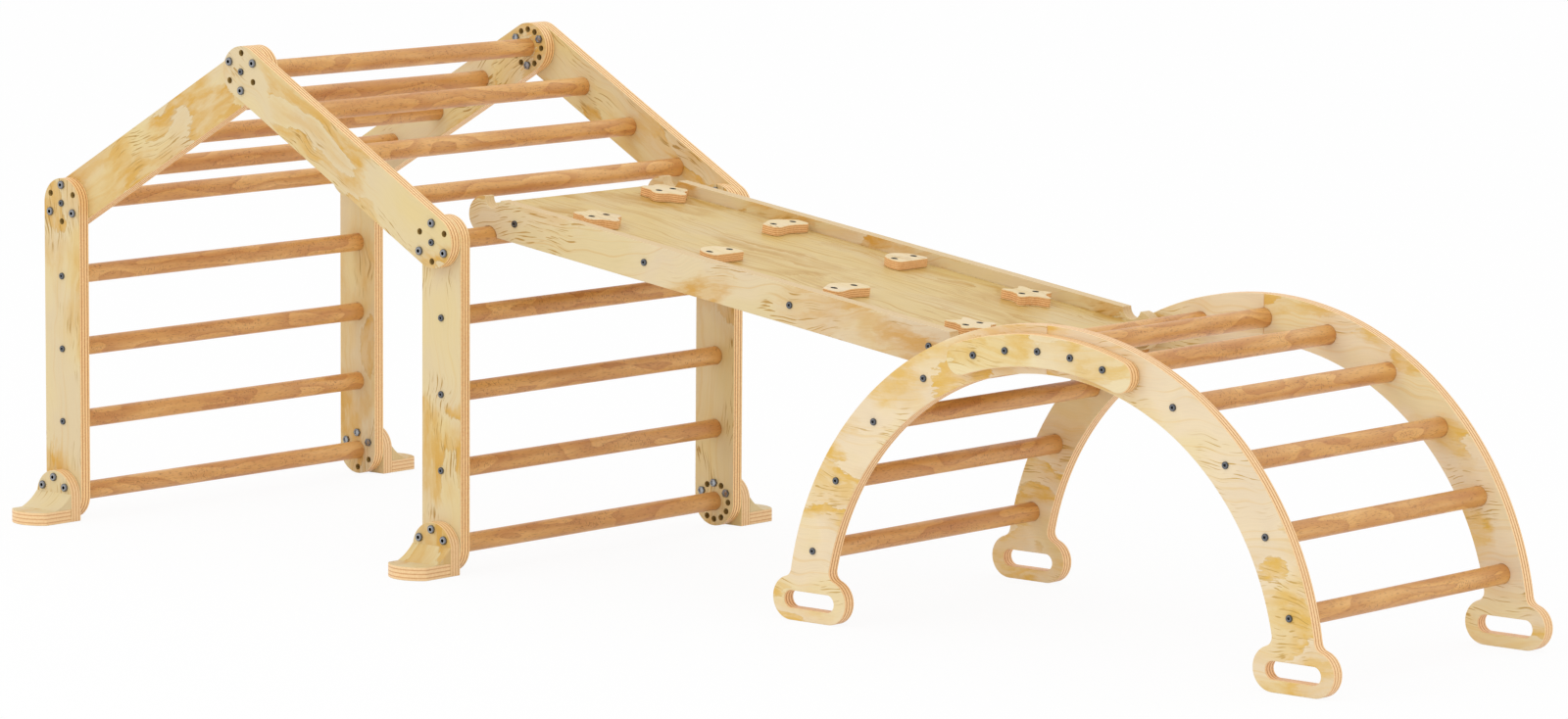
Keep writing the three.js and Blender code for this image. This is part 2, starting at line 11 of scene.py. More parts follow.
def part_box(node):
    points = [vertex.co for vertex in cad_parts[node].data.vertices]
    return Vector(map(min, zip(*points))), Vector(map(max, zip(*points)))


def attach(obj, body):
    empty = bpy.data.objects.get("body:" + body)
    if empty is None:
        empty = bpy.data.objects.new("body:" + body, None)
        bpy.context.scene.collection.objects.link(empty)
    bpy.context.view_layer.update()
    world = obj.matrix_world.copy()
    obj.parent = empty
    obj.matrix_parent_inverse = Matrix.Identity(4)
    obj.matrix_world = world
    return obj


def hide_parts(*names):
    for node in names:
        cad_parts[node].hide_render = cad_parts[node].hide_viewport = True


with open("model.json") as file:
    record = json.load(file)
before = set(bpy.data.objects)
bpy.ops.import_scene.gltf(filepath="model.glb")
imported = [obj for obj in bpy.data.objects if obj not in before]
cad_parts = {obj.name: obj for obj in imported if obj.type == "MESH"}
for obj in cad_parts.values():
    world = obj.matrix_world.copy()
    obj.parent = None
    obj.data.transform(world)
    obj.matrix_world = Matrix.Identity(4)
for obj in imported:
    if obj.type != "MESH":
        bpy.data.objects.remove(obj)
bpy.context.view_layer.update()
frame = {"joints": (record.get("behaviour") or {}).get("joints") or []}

MM = 0.001

# Stock and clearances.
PLY = 18 * MM
HOLD_PLY = 12 * MM
LAP = 0.15 * MM                        # half of the gap between two boards that lap
GAP = 0.3 * MM
ARRIS = 0.9 * MM                       # rounding of the boards' edges
VENEER = 0.45 * MM                     # depth to which a board shows its face
SEAT = 6 * MM                          # blind seat of a rung's end
PAST = MM                              # how far a cutter runs past the face that it opens
CHAMFER = 1.2 * MM                     # of the rungs' ends
GRAB = 0.1 * MM                        # slack when points are picked by where they lie

# House. Rings of holes and bolts are told by their angle in degrees, from the x axis towards the top.
POST_R = 34 * MM
RING_R = 25 * MM
RING_START = 30
RING_HOLE = 4.2 * MM
PIVOT_HOLE = 2.9 * MM
RIDGE_LOCKS = [30, 150, 270]
EAVE_LOCKS = [90, 210, 330]
FOOT_LOCKS = [30, 90, 150]

# Foot: its base runs straight and then bulges out, and the face of its wedge dips.
BASE_SIDE = 46 * MM
BASE_BULGE = 16 * MM
WEDGE_OUT = 28 * MM
WEDGE_UP = 20 * MM
WEDGE_DIP = 2.2 * MM

# Arch.
ARCH_R = 375 * MM
ARCH_STEP = math.radians(15.2)
ARCH_RAIL_W = 60 * MM
HANDLE_L = 117 * MM
HANDLE_H = 56 * MM
HANDLE_X = 370 * MM
SLOT_L = 80 * MM
SLOT_H = 22 * MM
SLOT_DROP = 1.5 * MM
HANDLE_FILLET = 12 * MM
PLATE_W = 40 * MM
PLATE_ARC = math.radians(18.7)
PLATE_ARRIS = 1.6 * MM
ARCH_SCREWS = [-5, -4, -3, -2, -1, -0.5, 0, 0.5, 1, 2, 3, 4, 5]    # in rungs from the top

# Ramp, measured along it from the house's eave rung and up from the rails' lower edge.
HOOK_SPAN = 786 * MM
RAIL_H = 50 * MM
NOTCH_R = 14 * MM
NOTCH_DROP = 1.1 * MM
HEAD_SHIFT = 14 * MM
DECK_OVER = 33 * MM
GRAIN_SKEW = math.radians(12)          # the rails' grain lies nearly level
DECK_SCREWS = [43 * MM, 270 * MM]
HOLDS = {
    "near": {"first": 115 * MM, "last": 42 * MM, "kinds": ["cloud", "block", "wave", "star"]},
    "far": {"first": 34 * MM, "last": 130 * MM, "kinds": ["cloud", "wave", "block", "star"]},
}
HOLD_SCREW_OFF = {"cloud": 14 * MM, "block": 19.5 * MM, "wave": 19.5 * MM, "star": 14 * MM}
SINK_R = 4.7 * MM
SINK = 2.4 * MM

# Outlines of the holds, in mm. The lobed ones have five lobes with creases between them, and are pressed a
# little along the ramp and across it. The wave lies between two swung edges, and the block is a round that is
# cut flat and has rounded corners.
LOBED = {"cloud": {"mean": 34, "lobe": 5, "crease": 0}, "star": {"mean": 31, "lobe": 7, "crease": 2.5}}
LOBED_SHAPE = {"along": 0.87, "across": 0.83}
WAVE = {"reach": 36, "low": 17, "dent": 3, "high": 14, "hump": 6, "tip": 0.35}
BLOCK = {"radius": 31, "centre": 8, "flat": 18, "corner": 6}

SIDES = {"near": -1, "far": 1}
UP = Vector((0, 0, 1))
RIGHT = Vector((1, 0, 0))


def middle(node):
    """Middle of a CAD node's box."""
    low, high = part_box(node)
    return (low + high) / 2


def at_y(point, y):
    """A point moved to another y."""
    return Vector((point.x, y, point.z))


joint_at = {j["name"]: at_y(Vector(j["pos_m"]), 0) for j in frame["joints"] if j["type"] == "hinge"}
right_eave = joint_at["roof_fold"]
ridge = joint_at["ridge_fold"]
left_eave = joint_at["left_eave_fold"]
right_foot = at_y(middle("right_wall_rung_bottom"), 0)
left_foot = at_y(middle("left_wall_rung_bottom"), 0)
low_hook = at_y(middle("arch_rung_left_2"), 0)
arch_x = middle("arch_rung_top").x
arch_mid = middle("arch_rung_top").y
ramp_mid = middle("ramp_deck").y
house_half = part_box("left_wall_rung_1")[1].y + PLY - LAP - SEAT + GAP
arch_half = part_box("arch_rung_top")[1].y - arch_mid + PLY - SEAT + GAP
ramp_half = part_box("ramp_deck")[1].y - ramp_mid + PLY + GAP
rung_r = (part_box("left_wall_rung_1")[1].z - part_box("left_wall_rung_1")[0].z) / 2


# Bench work

def deselect():
    bpy.ops.object.select_all(action="DESELECT")


def only(obj):
    """Makes a piece the one that is selected and active."""
    deselect()
    obj.select_set(True)
    bpy.context.view_layer.objects.active = obj


def edit(obj):
    """Opens a piece in edit mode with all of it selected."""
    only(obj)
    bpy.ops.object.mode_set(mode="EDIT")
    bpy.ops.mesh.select_all(action="SELECT")


def done():
    bpy.ops.object.mode_set(mode="OBJECT")


def pick(obj, kind, test):
    """In edit mode, selects the verts, edges or faces whose middle passes the test."""
    bpy.ops.mesh.select_mode(type={"verts": "VERT", "edges": "EDGE", "faces": "FACE"}[kind])
    bpy.ops.mesh.select_all(action="DESELECT")
    bm = bmesh.from_edit_mesh(obj.data)
    for item in getattr(bm, kind):
        if kind == "verts":
            centre = item.co
        elif kind == "edges":
            centre = (item.verts[0].co + item.verts[1].co) / 2
        else:
            centre = item.calc_center_median()
        item.select_set(test(centre))
    bm.select_flush_mode()
    bmesh.update_edit_mesh(obj.data)


def apply(obj, kind, **settings):
    """Adds a modifier, sets it and applies it."""
    only(obj)
    mod = obj.modifiers.new(kind.title(), kind)
    for key, value in settings.items():
        setattr(mod, key, value)
    bpy.ops.object.modifier_apply(modifier=mod.name)


def fix_place(obj):
    """Moves an object's place, turn and size into its mesh."""
    only(obj)
    bpy.ops.object.transform_apply(location=True, rotation=True, scale=True)
    return obj


def disc(radius, vertices=64):
    """Flat filled circle on the bench, with no vertex on its axes."""
    deselect()
    bpy.ops.mesh.primitive_circle_add(vertices=vertices, radius=radius, fill_type="NGON",
                                      rotation=(0, 0, math.pi / vertices))
    return fix_place(bpy.context.object)


def stadium(radius, start, end, y=0.0, vertices=64):
    """Flat round-ended outline between two centres on a line along x."""
    obj = disc(radius, vertices)
    edit(obj)
    bpy.ops.transform.translate(value=(start, y, 0))
    pick(obj, "verts", lambda c: c.x > start)
    bpy.ops.transform.translate(value=(end - start, 0, 0))
    done()
    return obj


def traced(points):
    """Flat outline through points that arcs give, for the shapes that no primitive starts."""
    mesh = bpy.data.meshes.new("outline")
    edges = [(i, (i + 1) % len(points)) for i in range(len(points))]
    mesh.from_pydata([(x, y, 0) for x, y in points], edges, [])
    obj = bpy.data.objects.new("outline", mesh)
    bpy.context.scene.collection.objects.link(obj)
    edit(obj)
    bpy.ops.mesh.edge_face_add()
    done()
    return obj


def thicken(obj, depth):
    """Extrudes a flat outline from z = 0 to z = depth, closed all round."""
    edit(obj)
    bpy.ops.mesh.extrude_region_move(TRANSFORM_OT_translate={"value": (0, 0, depth)})
    bpy.ops.mesh.select_all(action="SELECT")
    bpy.ops.mesh.normals_make_consistent(inside=False)
    done()
    return obj


def bits(places, low, high, vertices=32):
    """Drill bits at places (x, y, radius) of the bench, from depth low to high, as one cutter."""
    made = []
    for x, y, radius in places:
        deselect()
        bpy.ops.mesh.primitive_cylinder_add(vertices=vertices, radius=radius, depth=high - low,
                                            location=(x, y, (low + high) / 2))
        made.append(bpy.context.object)
    for obj in made:
        obj.select_set(True)
    bpy.ops.object.join()
    return fix_place(bpy.context.object)


def cut(obj, cutter):
    """Cuts a cutter's shape out of a piece and uses the cutter up."""
    apply(obj, "BOOLEAN", object=cutter, operation="DIFFERENCE", solver="EXACT")
    bpy.data.objects.remove(cutter)


def ease(obj, width=ARRIS):
    """Rounds every arris a little, as sanding does."""
    apply(obj, "BEVEL", width=width, segments=2, limit_method="ANGLE", angle_limit=math.radians(40))


def smooth(obj):
    """Smooth shading that keeps the corners crisp."""
    only(obj)
    bpy.ops.object.shade_smooth_by_angle(angle=math.radians(50))
    apply(obj, "WEIGHTED_NORMAL", keep_sharp=True)


board_numbers = itertools.count(1)


def note_sheet(obj, skew=0.0, all_face=False):
    """Keeps each point's place on the bench, moved on so that no two boards come from the same place of the
    veneer. skew is how far the grain is off the board's length, and all_face shows veneer on every side."""
    number = next(board_numbers)
    shift = Vector((0.83 * number, 0.37 * number, 0))
    turn = Matrix.Rotation(skew, 3, "Z")
    mark = obj.data.attributes.new("sheet", "FLOAT_VECTOR", "POINT")
    for vertex, item in zip(obj.data.vertices, mark.data):
        flat = turn @ vertex.co + shift
        item.vector = (flat.x, flat.y, 0 if all_face else vertex.co.z)


def note_bores(obj, places):
    """Marks the walls of the holes at places (x, y, radius) of the bench, where the finish paints shade."""
    mark = obj.data.attributes.new("bore", "FLOAT", "POINT")
    for vertex, item in zip(obj.data.vertices, mark.data):
        item.value = any(math.dist(vertex.co.xy, (x, y)) < radius + GRAB for x, y, radius in places)


def stand(origin, along, inward):
    """Place of a board: its bench origin, and where its length and its depth point."""
    place = Matrix((along, inward.cross(along), inward)).transposed().to_4x4()
    place.translation = origin
    return place


def on_bench(place, world, radius):
    """Where on a board's bench a hole at a point of the world is drilled."""
    p = place.inverted() @ world
    return (p.x, p.y, radius)


def hand_over(obj, name, place, body, material, node=None):
    """Stands a piece in its place, names it, and gives it its body, finish and CAD node."""
    obj.matrix_world = place
    fix_place(obj)
    obj.name = obj.data.name = name
    obj.data.materials.clear()
    obj.data.materials.append(material)
    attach(obj, body)
    if node:
        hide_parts(node)


def finish_board(obj, name, place, body, wood, node=None, arris=ARRIS, skew=0.0):
    """Sands a board, marks where its veneer comes from and hands it over."""
    ease(obj, arris)
    smooth(obj)
    note_sheet(obj, skew)
    hand_over(obj, name, place, body, wood, node)


# Materials

def linear(hex_colour):
    """sRGB hex to a linear colour with alpha 1."""
    out = []
    for i in (1, 3, 5):
        c = int(hex_colour[i:i + 2], 16) / 255
        out.append(c / 12.92 if c <= 0.04045 else ((c + 0.055) / 1.055) ** 2.4)
    return (*out, 1)


def grey(v):
    return (v, v, v, 1)


def add_node(tree, kind, inputs=(), stops=(), out=None, **settings):
    """Adds a node with its settings, its input values or links and its colour stops, and gives an output
    back, either the one named out or the first in use."""
    node = tree.nodes.new("ShaderNode" + kind)
    for key, value in settings.items():
        setattr(node, key, value)
    for key, value in dict(inputs).items():
        if isinstance(value, bpy.types.NodeSocket):
            tree.links.new(value, node.inputs[key])
        else:
            node.inputs[key].default_value = value
    for i, (position, colour) in enumerate(sorted(stops, key=lambda s: s[0])):
        stop = node.color_ramp.elements[i] if i < 2 else node.color_ramp.elements.new(position)
        stop.position = position
        stop.color = colour if isinstance(colour, tuple) else grey(colour)
    return node.outputs[out] if out else next(o for o in node.outputs if o.enabled)


def new_material(name):
    """A material, its nodes and its shader."""
    material = bpy.data.materials.new(name)
    material.use_nodes = True
    return material, material.node_tree, material.node_tree.nodes["Principled BSDF"]


def varnish(shader, roughness, coat):
    """Satin varnish: a soft gloss under a thin clear coat."""
    shader.inputs["Roughness"].default_value = roughness
    shader.inputs["Coat Weight"].default_value = coat
    shader.inputs["Coat Roughness"].default_value = 0.3


def birch_ply(name, thickness, plies, tones, heart, edge_tones, figure, fibre):
    """Varnished birch plywood. The faces are cream rotary-cut veneer with golden heart figure and ochre
    flecks, and the edges show the plies in turn, pale along their grain and tan on their end grain. figure is
    how much of the face the gold covers, and fibre is how plainly the straight grain shows."""
    material, tree, shader = new_material(name)
    add = partial(add_node, tree)
    sheet = add("Attribute", attribute_name="sheet", out="Vector")
    depth = add("SeparateXYZ", {0: sheet}, out="Z")

    # Everything follows a slow swirl of about 100 mm, and the figure also frays along the grain.
    swirl = add("TexNoise", {"Vector": sheet, "Scale": 8, "Detail": 2}, out="Color")
    bent = add("VectorMath", {0: swirl, 1: (0.12, 0.06, 0), 2: sheet}, operation="MULTIPLY_ADD")
    stretched = add("VectorMath", {0: sheet, 1: (40, 130, 1)}, operation="MULTIPLY")
    fray = add("TexNoise", {"Vector": stretched, "Scale": 1, "Detail": 3, "Roughness": 0.65}, out="Color")
    frayed = add("VectorMath", {0: fray, 1: (0.045, 0.02, 0), 2: bent}, operation="MULTIPLY_ADD")

    # Each pattern is noise drawn out along the grain: so many grains a metre along the board and across it.
    pattern = {}
    for key, vector, along, across, detail in (
            ("drift", bent, 7, 11, 3), ("rings", frayed, 5, 11, 1), ("clouds", frayed, 4.5, 9, 1),
            ("feather", frayed, 26, 80, 3), ("fibres", bent, 30, 600, 2), ("lines", bent, 4, 190, 3),
            ("flecks", bent, 28, 450, 1), ("flocks", sheet, 7, 12, 1), ("pores", sheet, 420, 420, 2)):
        stretched = add("VectorMath", {0: vector, 1: (along, across, across)}, operation="MULTIPLY")
        pattern[key] = add("TexNoise", {"Vector": stretched, "Scale": 1, "Detail": detail})

    # Ground: three tones that drift into each other over about 100 mm.
    ground = add("ValToRGB", {0: pattern["drift"]},
                 [(0.38, linear(tones[0])), (0.5, linear(tones[1])), (0.62, linear(tones[2]))])

    # Heart figure: golden clouds 60 to 200 mm long that end in one crisp line and fade out on its other side.
    rings = add("Math", {0: pattern["rings"], 1: 5}, operation="MULTIPLY")
    rings = add("Math", {0: rings}, operation="FRACT")
    least = 0.57 - 0.12 * figure
    where = add("ValToRGB", {0: pattern["clouds"]}, [(least, 0.0), (least + 0.06, 1.0)])
    feather = add("ValToRGB", {0: pattern["feather"]}, [(0.36, 0.4), (0.6, 1.0)])
    feather = add("Math", {0: feather, 1: where}, operation="MULTIPLY")
    cloud = add("ValToRGB", {0: rings}, [(0, 0.0), (0.05, 1.0), (0.35, 0.8), (0.7, 0.35), (1, 0.0)])
    cloud = add("Math", {0: cloud, 1: feather}, operation="MULTIPLY")
    face = add("Mix", {0: cloud, 6: ground, 7: linear(heart[0])}, data_type="RGBA")
    line = add("ValToRGB", {0: rings}, [(0, 0.0), (0.02, 0.45), (0.05, 0.0)])
    line = add("Math", {0: line, 1: feather}, operation="MULTIPLY")
    face = add("Mix", {0: line, 6: face, 7: linear(heart[1])}, data_type="RGBA")

    # Fibres, about 1.5 mm wide and 30 mm long, and growth lines 4 to 10 mm apart, plainest on the deck.
    fibres = add("ValToRGB", {0: pattern["fibres"]}, [(0.32, 1 - 0.12 * fibre), (0.6, 1.0)])
    face = add("Mix", {0: 1.0, 6: face, 7: fibres}, data_type="RGBA", blend_type="MULTIPLY")
    lines = add("ValToRGB", {0: pattern["lines"]}, [(0.57, 0.0), (0.65, 0.9 * fibre)])
    face = add("Mix", {0: lines, 6: face, 7: linear(heart[0])}, data_type="RGBA")

    # Flecks, 10 to 30 mm long and 1 mm wide, in clusters.
    flecks = add("ValToRGB", {0: pattern["flecks"]}, [(0.6, 0.0), (0.65, 1.0)])
    flocks = add("ValToRGB", {0: pattern["flocks"]}, [(0.51, 0.0), (0.57, 0.9)])
    flecks = add("Math", {0: flecks, 1: flocks}, operation="MULTIPLY")
    face = add("Mix", {0: flecks, 6: face, 7: linear(heart[1])}, data_type="RGBA")

    # Edge: the plies in turn, in the 18 mm board about 3.6 mm along their grain and 1.5 mm of end grain.
    turn = add("Math", {0: depth, 1: plies / 2 / thickness}, operation="MULTIPLY")
    turn = add("Math", {0: turn}, operation="FRACT")
    end_grain = add("ValToRGB", {0: turn}, [(0.60, 0.0), (0.66, 1.0), (0.9, 1.0), (0.96, 0.0)])
    light, dark = (add("ValToRGB", {0: pattern["pores"]}, [(0.33, linear(low)), (0.62, linear(high))])
                   for low, high in edge_tones)
    edge = add("Mix", {0: end_grain, 6: light, 7: dark}, data_type="RGBA")

    from_middle = add("Math", {0: depth, 1: thickness / 2}, operation="SUBTRACT")
    from_middle = add("Math", {0: from_middle}, operation="ABSOLUTE")
    on_face = add("Math", {0: from_middle, 1: thickness / 2 - VENEER}, operation="GREATER_THAN")
    wood = add("Mix", {0: on_face, 6: edge, 7: face}, data_type="RGBA")
    # The walls of drilled holes take a flat olive tan in place of the plies: painted shade inside the holes.
    bore = add("Attribute", attribute_name="bore", out="Fac")
    wood = add("Mix", {0: bore, 6: wood, 7: linear("#b5985a")}, data_type="RGBA")
    tree.links.new(wood, shader.inputs["Base Color"])
    varnish(shader, 0.5, 0.1)
    bump = add("Bump", {"Strength": 0.2, "Distance": 0.2 * MM, "Height": fibres})
    tree.links.new(bump, shader.inputs["Normal"])
    return material


def varnished_beech():
    """Turned and varnished beech: warm tan with long soft streaks, darker stretches that start at a crisp
    line, and the short dark flecks that beech is known by. The grain runs along y, as every rung does."""
    material, tree, shader = new_material("varnished_beech")
    add = partial(add_node, tree)
    place = add("TexCoord", out="Object")
    bend = add("TexNoise", {"Vector": place, "Scale": 12, "Detail": 2}, out="Color")
    bent = add("VectorMath", {0: bend, 1: (0.016, 0, 0.016), 2: place}, operation="MULTIPLY_ADD")

    # So many grains a metre across the rung and along it.
    pattern = {}
    for key, across, along, detail in (("streaks", 85, 5, 4), ("turns", 26, 5.5, 1), ("pores", 800, 110, 1),
                                       ("rays", 260, 420, 1), ("spots", 40, 9, 1)):
        stretched = add("VectorMath", {0: bent, 1: (across, along, across)}, operation="MULTIPLY")
        pattern[key] = add("TexNoise", {"Vector": stretched, "Scale": 1, "Detail": detail})

    wood = add("ValToRGB", {0: pattern["streaks"]},
               [(0.32, linear("#d09350")), (0.5, linear("#dea65c")), (0.68, linear("#e9b773"))])
    # Stretches 50 to 150 mm long, darkest at their crisp end.
    turns = add("Math", {0: pattern["turns"], 1: 5}, operation="MULTIPLY")
    turns = add("Math", {0: turns}, operation="FRACT")
    turns = add("ValToRGB", {0: turns}, [(0, 0.0), (0.02, 0.6), (0.35, 0.3), (0.8, 0.0)])
    wood = add("Mix", {0: turns, 6: wood, 7: linear("#bd7a3c")}, data_type="RGBA")
    # Dark pores, 6 mm long, and ray flecks across them, 3 mm.
    pores = add("ValToRGB", {0: pattern["pores"]}, [(0.58, 0.0), (0.7, 0.45)])
    wood = add("Mix", {0: pores, 6: wood, 7: linear("#8f5524")}, data_type="RGBA")
    rays = add("ValToRGB", {0: pattern["rays"]}, [(0.62, 0.0), (0.68, 0.55)])
    spots = add("ValToRGB", {0: pattern["spots"]}, [(0.5, 0.0), (0.56, 1.0)])
    rays = add("Math", {0: rays, 1: spots}, operation="MULTIPLY")
    wood = add("Mix", {0: rays, 6: wood, 7: linear("#8f5524")}, data_type="RGBA")
    tree.links.new(wood, shader.inputs["Base Color"])
    varnish(shader, 0.45, 0.12)
    bump = add("Bump", {"Strength": 0.2, "Distance": 0.2 * MM, "Height": pattern["streaks"]})
    tree.links.new(bump, shader.inputs["Normal"])
    return material


def plated_steel(name, rim, crown, roughness, metallic=1.0):
    """Plated steel: a cool metal with a cloudy gloss, with painted shade that darkens the rim of the head and
    fills the drive's recess. The near-black finish paints the shade of a deep counterbore over the whole head
    as a dull skin that hides the metal, so its metallic is 0."""
    material, tree, shader = new_material(name)
    add = partial(add_node, tree)
    cloud = add("TexNoise", {"Vector": add("TexCoord", out="Object"), "Scale": 300, "Detail": 3})
    sheen = add("MapRange", {0: cloud, 1: 0.3, 2: 0.7, 3: roughness - 0.08, 4: roughness + 0.1})
    off_centre = add("Attribute", attribute_name="off_centre", out="Fac")
    # Painted shade: near-black in the drive's recess, and darker again towards the rim of the head.
    plating_and_shade = add("ValToRGB", {0: off_centre},
                  [(0.47, linear("#303134")), (0.52, linear(crown)), (0.85, linear(rim))])
    tree.links.new(plating_and_shade, shader.inputs["Base Color"])
    tree.links.new(sheen, shader.inputs["Roughness"])
    shader.inputs["Metallic"].default_value = metallic
    shader.inputs["Specular IOR Level"].default_value = 0.1
    return material


# Edge tones: pale plies and tan ones, each from its darker to its lighter pores.
BOLD_EDGE = (("#f8ca8c", "#ffdb9e"), ("#b4713a", "#c9864c"))
ARCH_EDGE = (("#f4c88e", "#fcd7a0"), ("#c08048", "#d0925a"))
FOOT_EDGE = (("#efc893", "#f6d4a0"), ("#d39e68", "#ddab76"))
FINE_EDGE = (("#ecbb80", "#f6cb92"), ("#c07e45", "#d09056"))
PLAIN_EDGE = (("#d6b783", "#dec08c"), ("#d3b27c", "#dbbb87"))

ply = partial(birch_ply, thickness=PLY, plies=7)
straw_birch = ply("straw_birch_ply", tones=("#dcc79e", "#dfca9a", "#e0c98f"), heart=("#d3a13d", "#ad812c"),
                  edge_tones=BOLD_EDGE, figure=1.1, fibre=0.2)
foot_birch = ply("foot_birch_ply", tones=("#dcc79e", "#dfca9a", "#e0c98f"), heart=("#d3a13d", "#b98b34"),
                 edge_tones=FOOT_EDGE, figure=0.7, fibre=0.2)
cream_birch = ply("cream_birch_ply", tones=("#ead5b3", "#efdab5", "#edd8a8"), heart=("#e2b448", "#c69c46"),
                  edge_tones=ARCH_EDGE, figure=0.9, fibre=0.3)
rail_birch = ply("figured_birch_ply", tones=("#dfcaa7", "#e2cda3", "#dfca98"), heart=("#cf9832", "#b7882f"),
                 edge_tones=PLAIN_EDGE, figure=1.0, fibre=0.3)
plate_birch = ply("plate_birch_ply", tones=("#ebd6ab", "#eedbae", "#ecd8a4"), heart=("#e0b552", "#c69c46"),
                  edge_tones=ARCH_EDGE, figure=0.3, fibre=0.3)
straight_birch = ply("straight_birch_ply", tones=("#d9bd83", "#dbbe7b", "#d8b970"),
                     heart=("#c39434", "#bf9140"), edge_tones=PLAIN_EDGE, figure=0.5, fibre=0.9)
thin_birch = ply("thin_birch_ply", thickness=HOLD_PLY, plies=9, tones=("#ead5ae", "#ead2a2", "#e8d09c"),
                 heart=("#d9b465", "#b78c42"), edge_tones=FINE_EDGE, figure=0.2, fibre=0.5)
beech = varnished_beech()
# The rim colours are painted shade at the edge of each head.
zinc = plated_steel("zinc_plated_steel", rim="#5a5c61", crown="#8c8f94", roughness=0.3)
bright_zinc = plated_steel("bright_zinc_steel", rim="#77787c", crown="#b4b5b6", roughness=0.25)
# Near-black painted shade for the screws sunk deep in the holds' counterbores.
counterbore_shade = plated_steel("blackened_steel", rim="#1c1d20", crown="#26282b", roughness=0.6, metallic=0.0)


# Screws, bolts and nuts, each kind modelled once: z = 0 is its seat, and its top points to +z

def note_centre(obj, radius):
    """Keeps how far off the head's middle each point is, 0 to 1; the steel places its painted shade in the
    drive and at the rim by it.
    """
    marks = obj.data.attributes
    mark = marks.get("off_centre") or marks.new("off_centre", "FLOAT", "POINT")
    for vertex, item in zip(obj.data.vertices, mark.data):
        item.value = vertex.co.xy.length / radius


def domed_head(radius, height, socket, sides, depth):
    """Round head with a rounded rim and a socket of so many sides in its top."""
    obj = thicken(disc(radius, 40), height)
    edit(obj)
    pick(obj, "edges", lambda c: c.z > height * 0.9)
    bpy.ops.mesh.bevel(offset=height * 0.45, segments=4, affect="EDGES")
    done()
    cut(obj, bits([(0, 0, socket)], height - depth, height + PAST, sides))
    smooth(obj)
    note_centre(obj, radius)
    return obj


def cross_head(radius, height, depth):
    """Low round head with a cross in its top."""
    obj = domed_head(radius, height, socket=radius * 0.22, sides=24, depth=depth * 0.7)
    for turn in (0.25, 0.75):
        deselect()
        bpy.ops.mesh.primitive_cube_add(size=1, location=(0, 0, height), rotation=(0, 0, math.pi * turn))
        blade = bpy.context.object
        blade.scale = (radius * 1.15, radius * 0.26, depth * 2)
        cut(obj, fix_place(blade))
    smooth(obj)
    note_centre(obj, radius)
    return obj


def hex_nut(radius, height, bore):
    """Hexagon nut with its corners turned off and a bolt's end showing in it."""
    obj = thicken(disc(radius, 6), height)
    edit(obj)
    pick(obj, "edges", lambda c: c.z > height * 0.9)
    bpy.ops.mesh.bevel(offset=height * 0.2, segments=2, affect="EDGES")
    done()
    cut(obj, bits([(0, 0, bore)], height * 0.5, height + PAST))
    smooth(obj)
    note_centre(obj, radius)
    return obj


patterns = {
    "lock_bolt": (domed_head(radius=5.6 * MM, height=3 * MM, socket=2.6 * MM, sides=6, depth=2.4 * MM),
                  bright_zinc),
    "lock_nut": (hex_nut(radius=5.9 * MM, height=3 * MM, bore=3.6 * MM), bright_zinc),
    "screw": (cross_head(radius=4.5 * MM, height=2.2 * MM, depth=1.4 * MM), zinc),
    # The sunk hold screws carry the near-black painted shade of their counterbores.
    "hold_screw": (cross_head(radius=4.6 * MM, height=SINK, depth=1.2 * MM), counterbore_shade),
}


def drive(kind, name, point, out, body):
    """One copy of a screw, bolt or nut, seated at a point and facing out."""
    pattern, material = patterns[kind]
    copy = pattern.copy()
    copy.data = pattern.data.copy()
    bpy.context.scene.collection.objects.link(copy)
    place = Matrix.Translation(point) @ out.to_track_quat("Z", "Y").to_matrix().to_4x4()
    hand_over(copy, f"{kind}_{name}", place, body, material)


# House: the outer boards carry rings of six holes, the inner ones rings of twelve. v0 and v1 are the depths of
# a board's two faces from the house's outer face.

OUTER = {"v0": 0, "v1": PLY - LAP, "holes": 6}
INNER = {"v0": PLY + LAP, "v1": 2 * PLY, "holes": 12}


def house_y(side, v):
    """y at a depth from the house's outer face."""
    return SIDES[side] * (house_half - v)


def outward(side):
    """Which way a side's boards face out."""
    return Vector((0, SIDES[side], 0))


def on_ring(point, degrees):
    """Middle of a ring's hole, in the ring round a joint."""
    a = math.radians(degrees)
    return point + RING_R * Vector((math.cos(a), 0, math.sin(a)))


def ladder_board(name, side, body, layer, a, b, seats, pivots):
    """Post or rail from joint a to joint b, with its rings of holes, pivot holes and rung seats."""
    place = stand(at_y(a, house_y(side, layer["v0"])), (b - a).normalized(), -outward(side))
    depth = layer["v1"] - layer["v0"]
    obj = thicken(stadium(POST_R, 0, (b - a).length), depth)
    angles = [RING_START + i * 360 / layer["holes"] for i in range(layer["holes"])]
    bores = [on_bench(place, on_ring(p, degrees), RING_HOLE) for p in (a, b) for degrees in angles]
    cut(obj, bits(bores + [on_bench(place, p, PIVOT_HOLE) for p in pivots], -PAST, depth + PAST))
    ease(obj)
    cut(obj, bits([on_bench(place, p, rung_r + GAP) for p in seats], depth - SEAT, depth + PAST, 48))
    smooth(obj)
    note_sheet(obj)
    note_bores(obj, bores)
    hand_over(obj, "board_" + name, place, body, straw_birch, name)


